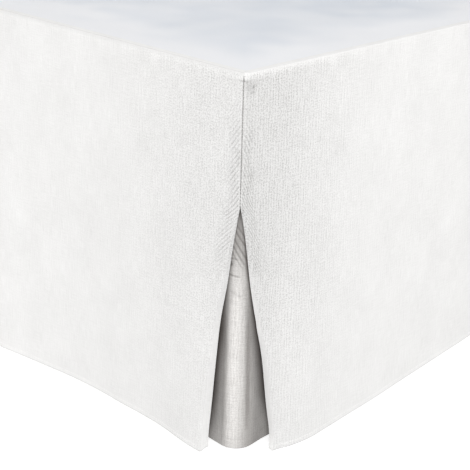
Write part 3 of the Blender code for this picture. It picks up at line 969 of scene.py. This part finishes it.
def hem_spots(outer, normals, row, skip):
    """Stitch places along a row of a sheet's face, evenly spaced, past its turned edges."""
    line = outer[skip[0] : len(outer) - skip[1], row]
    ways = normals[skip[0] : len(normals) - skip[1], row]
    walked = np.concatenate([[0.0], np.cumsum(np.linalg.norm(np.diff(line, axis=0), axis=1))])
    spots = []
    for at in np.arange(1.5 * MM, walked[-1] - 1.5 * MM, HEM_STITCH_PITCH_MM * MM):
        i = min(int(np.searchsorted(walked, at)), len(walked) - 1)
        share = (at - walked[i - 1]) / (walked[i] - walked[i - 1])
        middle = line[i - 1] * (1 - share) + line[i] * share
        spots.append((middle + ways[i] * 0.1 * MM, line[i] - line[i - 1], ways[i]))
    return spots


def seam_spots(hand):
    """Stitch places down a corner seam. hand is -1 for the left corner and 1 for the right."""
    lean = math.radians(45 - SEAM_SHIFT_DEG)
    reach = CORNER_RADIUS - 0.75 * MM
    x = CORNER_RADIUS - reach * math.cos(lean)
    y = CORNER_RADIUS - reach * math.sin(lean)
    normal = np.array([hand * math.cos(lean), -math.sin(lean), 0.0])
    across = np.array([-math.sin(lean) * hand, -math.cos(lean), 0.0])
    spots = []
    count = int((SEWN_TO_MM - SEWN_FROM_MM) / STITCH_PITCH_MM)
    first = math.ceil(SEWN_FROM_MM / STITCH_PITCH_MM)
    for k in range(first, first + count):
        level = (k + 0.5) * STITCH_PITCH_MM * MM
        place = np.array([hand * (HALF_WIDTH - x), FOOT_Y + y, level])
        spots.append((place, across, normal))
    return spots


def underlay_grid(hand):
    """An underlay's face, (column, row), with the distance of each point from its ridge."""
    heights, plain = level_rows(UNDERLAY_LEVELS)
    level = heights / MM
    side = by_height(UNDERLAY_HANG, level, "side_mm") * MM
    foot = by_height(UNDERLAY_HANG, level, "foot_mm") * MM
    radius = by_height(UNDERLAY_HANG, level, "radius_mm") * MM
    centre_x, centre_y = side + radius, foot + radius
    flat_steps, arc_steps = 30, 30
    columns = []
    for k in range(flat_steps):
        share = (k / flat_steps) ** 0.8
        y = UNDERLAY_REACH + (centre_y - UNDERLAY_REACH) * share
        columns.append((side, y, -(radius * math.pi / 4 + y - centre_y)))
    for k in range(arc_steps + 1):
        angle = math.radians(90) * k / arc_steps
        x = centre_x - radius * math.cos(angle)
        y = centre_y - radius * math.sin(angle)
        columns.append((x, y, radius * (angle - math.pi / 4)))
    for k in range(1, flat_steps + 1):
        share = (k / flat_steps) ** (1 / 0.8)
        x = centre_x + (UNDERLAY_REACH - centre_x) * share
        columns.append((x, foot, radius * math.pi / 4 + x - centre_x))
    x, y, ridge = (
        np.array([np.broadcast_to(column[k], level.shape) for column in columns]) for k in range(3)
    )
    z = np.broadcast_to(heights, x.shape)
    base = np.stack([hand * (HALF_WIDTH - x), FOOT_Y + y, z], axis=-1)
    return base, ridge, heights, plain


# Short folds on an underlay's face, from its ridge (minus is the side drop's side)
UNDERLAY_CREASES = table(
    Crease,
    (-12, 218, -3, 216, 0.35, 0.8),
    (-12, 213, -8, 210, 0.45, 1.9),
    (-12, 201, -1, 199, 0.3, 0.9),
    (-9, 184, 2, 179, 0.12, 2.0),
    (-7, 238, 5, 217, 0.3, 1.0),
    (-9, 233, 3, 212, 0.3, 1.1),
    (-10, 227, 1, 209, 0.25, 1.0),
    (-6, 246, 5, 228, 0.28, 0.9),
    (-5, 252, 5, 236, 0.25, 0.8),
    (8, 160, 11, 40, 0.25, 3.0),
    (-13, 140, -14, 30, 0.2, 3.5),
)


def underlay_relief(ridge_mm, height_mm, seed):
    """Relief of an underlay's face: its pulled top, short folds and hem."""
    pulled = ease(height_mm, 200, 222) * (1 - ease(height_mm, 258, 272))
    phase = math.tau * (height_mm + 1.35 * ridge_mm) / 4.2 + 1.3 * uneven(height_mm, 0, 13, seed)
    pull = 0.1 * np.sin(phase) * pulled * hump(ridge_mm, 12)
    waves = 0.3 * uneven(ridge_mm, 0.2 * height_mm, 16, seed + 1) * (1 - ease(height_mm, 235, 262))
    hem = hem_relief(ridge_mm, height_mm, UNDERLAY_BOTTOM_MM, UNDERLAY_HEM_MM, seed + 2)
    gather_phase = math.tau * (ridge_mm + 0.6 * height_mm) / 2.6
    gather = 0.14 * np.sin(gather_phase) * hump(height_mm - 19, 3) * hump(ridge_mm - 10, 6)
    return pull + waves + hem + gather + crease_relief(UNDERLAY_CREASES, ridge_mm, height_mm)


def underlay_light(ridge_mm, height_mm):
    """Share of its light that an underlay's face keeps inside the split."""
    level = np.broadcast_to(height_mm, ridge_mm.shape)
    side = by_height(UNDERLAY_SHADE, level, "side_mm")
    foot = by_height(UNDERLAY_SHADE, level, "foot_mm")
    ridge = by_height(UNDERLAY_SHADE, level, "ridge_share")
    # Painted shade, deep towards both drops and in the troughs of the folds
    to_side = 1 - 0.36 * ease(-ridge_mm, 3, 16) - 0.64 * ease(-ridge_mm, 0.35 * side, side)
    to_foot = 1 - 0.52 * ease(ridge_mm, -3, 12) - 0.48 * ease(ridge_mm, 0.5 * foot, foot)
    trough = np.clip(-crease_relief(UNDERLAY_CREASES, ridge_mm, height_mm) / 0.3, 0, 1)
    return np.clip(ridge * to_side * to_foot * (1 - CREASE_PAINTED_SHADE * trough), 0, 1)


def add_underlay(name, hand, seed):
    """The cloth behind a split corner."""
    base, ridge, heights, plain = underlay_grid(hand)
    normals = grid_normals(base)
    outward = np.array([hand, -1.0, 0.0])
    if np.dot(normals[len(normals) // 2, len(heights) // 2], outward) < 0:
        normals = -normals
    relief = underlay_relief(ridge / MM, heights / MM, seed) * MM
    outer = base + normals * relief[..., None]
    inner = base - normals * UNDERLAY_SHEET
    flat = np.stack([ridge, np.broadcast_to(heights, ridge.shape)], axis=-1)
    dense = np.ones(len(base), bool)
    pull = np.full(ridge.shape, 0.6)
    light = underlay_light(ridge / MM, heights / MM)
    piece = add_shell(name, outer, inner, flat, dense, plain, UNDERLAY_LINEN, pull, light)
    row = row_at(heights, (UNDERLAY_BOTTOM_MM + UNDERLAY_HEM_MM) * MM)
    spots = hem_spots(outer, normals, row, (1, 1))
    stitches = add_stitches(name + "_stitches", spots, UNDERLAY_THREAD, SHADED_THREAD)
    return piece, stitches


# Soft wrinkles of the deck near the photographed corner, placed from that corner
DeckFold = namedtuple("DeckFold", "x_mm y_mm to_x_mm to_y_mm lift_mm width_mm")
DECK_FOLDS = table(
    DeckFold,
    (60, 210, 190, 330, 0.9, 26),
    (120, 120, 260, 190, 0.7, 22),
    (230, 60, 420, 150, 0.8, 24),
    (40, 380, 150, 560, 1.0, 30),
    (330, 220, 520, 300, 1.0, 34),
    (180, 420, 330, 520, 0.9, 34),
    (520, 90, 760, 160, 0.9, 30),
    (90, 640, 240, 860, 1.0, 34),
)


def deck_relief(x_mm, y_mm):
    """Relief of the deck, in millimetres: soft wrinkles, flat where it meets its seams."""
    total = 0.7 * uneven(x_mm, y_mm, 95, 51) + 0.3 * uneven(x_mm, y_mm, 38, 52)
    for row in DECK_FOLDS:
        share, across = beside_line(x_mm, y_mm, *row[:4])
        reach = ease(share, -0.3, 0.3) * (1 - ease(share, 0.7, 1.3))
        total = total + row.lift_mm * reach * hump(across, row.width_mm)
    return np.maximum(total + 0.3, -0.2)


def deck_steps(length):
    """Places along the deck: close at both edges, fine near the foot-left corner, coarse beyond."""
    edge = [0.0, 0.4 * MM, 1.0 * MM, 2.2 * MM, 5 * MM]
    fine = np.linspace(edge[-1], DECK_FINE_END, round(DECK_FINE_END / DECK_FINE_STEP))[1:]
    last = length - edge[-1]
    count = round((last - DECK_FINE_END) / DECK_COARSE_STEP)
    coarse = np.linspace(DECK_FINE_END, last, count)[1:]
    return np.concatenate([edge, fine, coarse, [length - step for step in reversed(edge[:-1])]])


def add_deck():
    """The deck's fine sheet, flat where it meets the drops."""
    low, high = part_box("deck_panel")
    xs = deck_steps(high[0] - low[0])
    ys = deck_steps(high[1] - low[1])
    x, y = np.meshgrid(xs, ys, indexing="ij")
    from_edge = np.minimum.reduce([x, y, xs[-1] - x, ys[-1] - y]) / MM
    relief = deck_relief(x / MM, y / MM) * ease(from_edge, 2, 45)
    top = np.stack([low[0] + x, low[1] + y, high[2] + relief * MM], axis=-1)
    bottom = np.stack([low[0] + x, low[1] + y, np.full(x.shape, high[2] - DECK_SHEET)], axis=-1)
    plain = np.arange(len(ys)) % 4 == 0
    plain[-1] = True
    flat = np.stack([x, y], axis=-1)
    # Painted shade on the deck: darker away from its seams, and uneven in soft patches
    cloud = 0.27 * uneven(x / MM, y / MM, 62, 53) + 0.2 * uneven(x / MM, y / MM, 24, 54)
    light = np.clip(1 - 0.55 * ease(from_edge, 15, 80) + cloud * ease(from_edge, 5, 40), 0, 1)
    pull = np.full(light.shape, 0.1)
    dense = np.ones(len(xs), bool)
    return add_shell("deck_cloth", top, bottom, flat, dense, plain, DECK_CLOTH, pull, light)


def add_leg(node, material):
    """A leg turned smooth round its solid: a softened foot and a straight taper to the base."""
    low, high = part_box(node)
    centre = ((low[0] + high[0]) / 2, (low[1] + high[1]) / 2)
    top_radius = (high[0] - low[0]) / 2
    foot_radius, soft, sides = LEG_FOOT_RADIUS, LEG_FOOT_SOFT, LEG_SIDES
    straight = high[2] - low[2] - soft
    profile = [(0.0, low[2])]
    for k in range(7):
        angle = math.radians(90) * k / 6
        inset, rise = soft * (1 - math.sin(angle)), soft * (1 - math.cos(angle))
        profile.append((foot_radius - inset, low[2] + rise))
    for k in range(1, 9):
        radius = foot_radius + (top_radius - foot_radius) * k / 8
        profile.append((radius, low[2] + soft + straight * k / 8))
    profile.append((0.0, high[2]))
    points = [(*centre, profile[0][1])]
    for radius, level in profile[1:-1]:
        for k in range(sides):
            angle = math.tau * k / sides
            points.append(
                (centre[0] + radius * math.cos(angle), centre[1] + radius * math.sin(angle), level)
            )
    points.append((*centre, profile[-1][1]))
    faces = []
    rings = len(profile) - 2
    for k in range(sides):
        one, other = 1 + k, 1 + (k + 1) % sides
        faces.append((0, other, one))
        for ring in range(rings - 1):
            step = ring * sides
            faces.append((one + step, other + step, other + step + sides, one + step + sides))
        step = (rings - 1) * sides
        faces.append((one + step, other + step, len(points) - 1))
    piece = add_mesh(node + "_turned", points, faces, material)
    settle(piece, "leg_steel", node)


def rounded_rectangle(low, high, radius, steps):
    """Plan outline of a rectangle with round corners, anticlockwise from its foot-left corner."""
    corners = [(low[0], low[1]), (high[0], low[1]), (high[0], high[1]), (low[0], high[1])]
    inward = [(1, 1), (-1, 1), (-1, -1), (1, -1)]
    points = []
    for k, (corner, into) in enumerate(zip(corners, inward)):
        for step in range(steps + 1):
            angle = math.radians(180 + 90 * (k + step / steps))
            x = corner[0] + into[0] * radius + radius * math.cos(angle)
            y = corner[1] + into[1] * radius + radius * math.sin(angle)
            points.append((x, y))
    return points


def add_base(material):
    """The base's cover: soft edges, with a piped seam near its top and its bottom edge."""
    low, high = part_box("bed_base")
    profile = []
    for k in range(7):
        angle = math.radians(90) * k / 6
        profile.append((BASE_EDGE * (1 - math.sin(angle)), BASE_EDGE * (1 - math.cos(angle))))
    for k in range(9):
        angle = math.radians(180) * k / 8
        rise = PIPING_IN - PIPING_RADIUS * math.cos(angle)
        profile.append((-PIPING_RADIUS * math.sin(angle), rise))
    stack = [(inset, low[2] + rise) for inset, rise in profile]
    middle = (low[2] + high[2]) / 2
    stack.append((-0.6 * MM, middle))
    stack += [(inset, high[2] - rise) for inset, rise in reversed(profile)]
    points = []
    for inset, level in stack:
        ring_low = (low[0] + inset, low[1] + inset)
        ring_high = (high[0] - inset, high[1] - inset)
        ring = rounded_rectangle(ring_low, ring_high, BASE_CORNER - inset, 14)
        points += [(x, y, level) for x, y in ring]
    count = len(ring)
    faces = [tuple(range(count)), tuple(range(len(points) - count, len(points)))]
    for j in range(len(stack) - 1):
        for i in range(count):
            a, b = j * count + i, j * count + (i + 1) % count
            faces.append((a, b, b + count, a + count))
    return add_mesh("bed_base_cover", points, faces, material, 60)


def settle(piece, slot, *nodes):
    """Puts a piece on the root body and hides the solids it stands for; slot is not used."""
    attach(piece, "root")
    if nodes:
        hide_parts(*nodes)


def dress_drop(node, grid, place, facing, linen, turned):
    """A drop's sheet and its hem stitches. turned is how many columns at each end are not flat."""
    name = node + "_cloth"
    piece, outer, normals = add_drop(name, grid, place, facing, linen)
    row = row_at(grid.heights, HEM_HEIGHT + HEM_BAND_MM * MM)
    spots = hem_spots(outer, normals, row, turned)
    stitches = add_stitches(name + "_hem_stitches", spots, HEM_THREAD, THREAD)
    settle(piece, "skirt_linen", node)
    settle(stitches, "skirt_linen")


def dress_underlay(side, hand, seed):
    """An underlay's sheet and its hem stitches."""
    node = side + "_corner_underlay"
    piece, stitches = add_underlay(node + "_cloth", hand, seed)
    settle(piece, "skirt_linen", node)
    settle(stitches, "skirt_linen")


def dress_seam(side, hand):
    """The stitches down a corner seam."""
    stitches = add_stitches(side + "_seam_stitches", seam_spots(hand), SEAM_THREAD, THREAD)
    settle(stitches, "skirt_linen")


def add_lamp(lamp):
    """A square soft light that looks at its target."""
    data = bpy.data.lights.new(lamp.name, "AREA")
    data.shape = "SQUARE"
    data.size = lamp.size
    data.energy = lamp.power
    light = bpy.data.objects.new(lamp.name, data)
    light.location = lamp.place
    bpy.context.scene.collection.objects.link(light)
    way = Vector(lamp.target) - light.location
    light.rotation_euler = way.to_track_quat("-Z", "Y").to_euler()


def add_studio():
    """Pale floor, pale surroundings and soft lights."""
    reach = FLOOR_REACH
    corners = [(-reach, -reach, 0), (reach, -reach, 0), (reach, reach, 0), (-reach, reach, 0)]
    mesh = bpy.data.meshes.new("studio_floor")
    mesh.from_pydata(corners, [], [(0, 1, 2, 3)])
    mesh.materials.append(floor_material())
    floor = bpy.data.objects.new("studio_floor", mesh)
    floor.location.z = -0.2 * MM
    bpy.context.scene.collection.objects.link(floor)
    floor.visible_diffuse = False
    world = bpy.data.worlds.new("studio")
    world.use_nodes = True
    background = world.node_tree.nodes["Background"]
    background.inputs["Color"].default_value = (1.0, 1.0, 1.0, 1.0)
    background.inputs["Strength"].default_value = SURROUNDINGS
    bpy.context.scene.world = world
    for lamp in LAMPS:
        add_lamp(lamp)
    bpy.context.scene.view_settings.view_transform = "Standard"


def add_camera():
    """The photograph's view of the near corner."""
    yaw, pitch, roll = (math.radians(angle) for angle in CAMERA_TURN_DEG)
    forward = Vector(
        (math.cos(yaw) * math.cos(pitch), math.sin(yaw) * math.cos(pitch), -math.sin(pitch))
    )
    level_right = forward.cross(Vector((0, 0, 1))).normalized()
    level_up = level_right.cross(forward)
    right = level_right * math.cos(roll) + level_up * math.sin(roll)
    up = level_up * math.cos(roll) - level_right * math.sin(roll)
    data = bpy.data.cameras.new("camera")
    data.sensor_width = 36.0
    data.lens = data.sensor_width * FOCAL_PIXELS / PHOTO_PIXELS
    data.clip_start, data.clip_end = 0.01, 60.0
    camera = bpy.data.objects.new("camera", data)
    place = Vector((-HALF_WIDTH, FOOT_Y, 0)) + Vector(CAMERA_FROM_CORNER)
    turn = Matrix((right, up, -forward)).transposed().to_4x4()
    camera.matrix_world = Matrix.Translation(place) @ turn
    bpy.context.scene.collection.objects.link(camera)
    bpy.context.scene.camera = camera


def build():
    """Makes every piece, the studio and the camera."""
    add_camera()
    add_studio()
    deck = add_deck()
    settle(deck, "deck_cloth", "deck_panel")
    base = add_base(ticking_material())
    settle(base, "base_cloth", "bed_base")
    turned = TURN_COLUMNS + 1
    left = side_grid(LEFT_FLARE, 1.0, LEFT_CREASES, 11)
    dress_drop("left_drop", left, in_left, (-1, 0, 0), SIDE_LINEN, (turned, 1))
    right = side_grid(RIGHT_FLARE, RIGHT_SIDE_OPEN_SHARE, RIGHT_CREASES, 31)
    dress_drop("right_drop", right, in_right, (1, 0, 0), SIDE_LINEN, (turned, 1))
    foot = foot_grid(51)
    dress_drop("foot_drop", foot, in_foot, (0, -1, 0), FOOT_LINEN, (turned, turned))
    for side, hand, seed in (("left", -1, 71), ("right", 1, 81)):
        dress_underlay(side, hand, seed)
        dress_seam(side, hand)
    steel = steel_material()
    for node in sorted(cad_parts):
        if node.startswith("leg_"):
            add_leg(node, steel)


build()
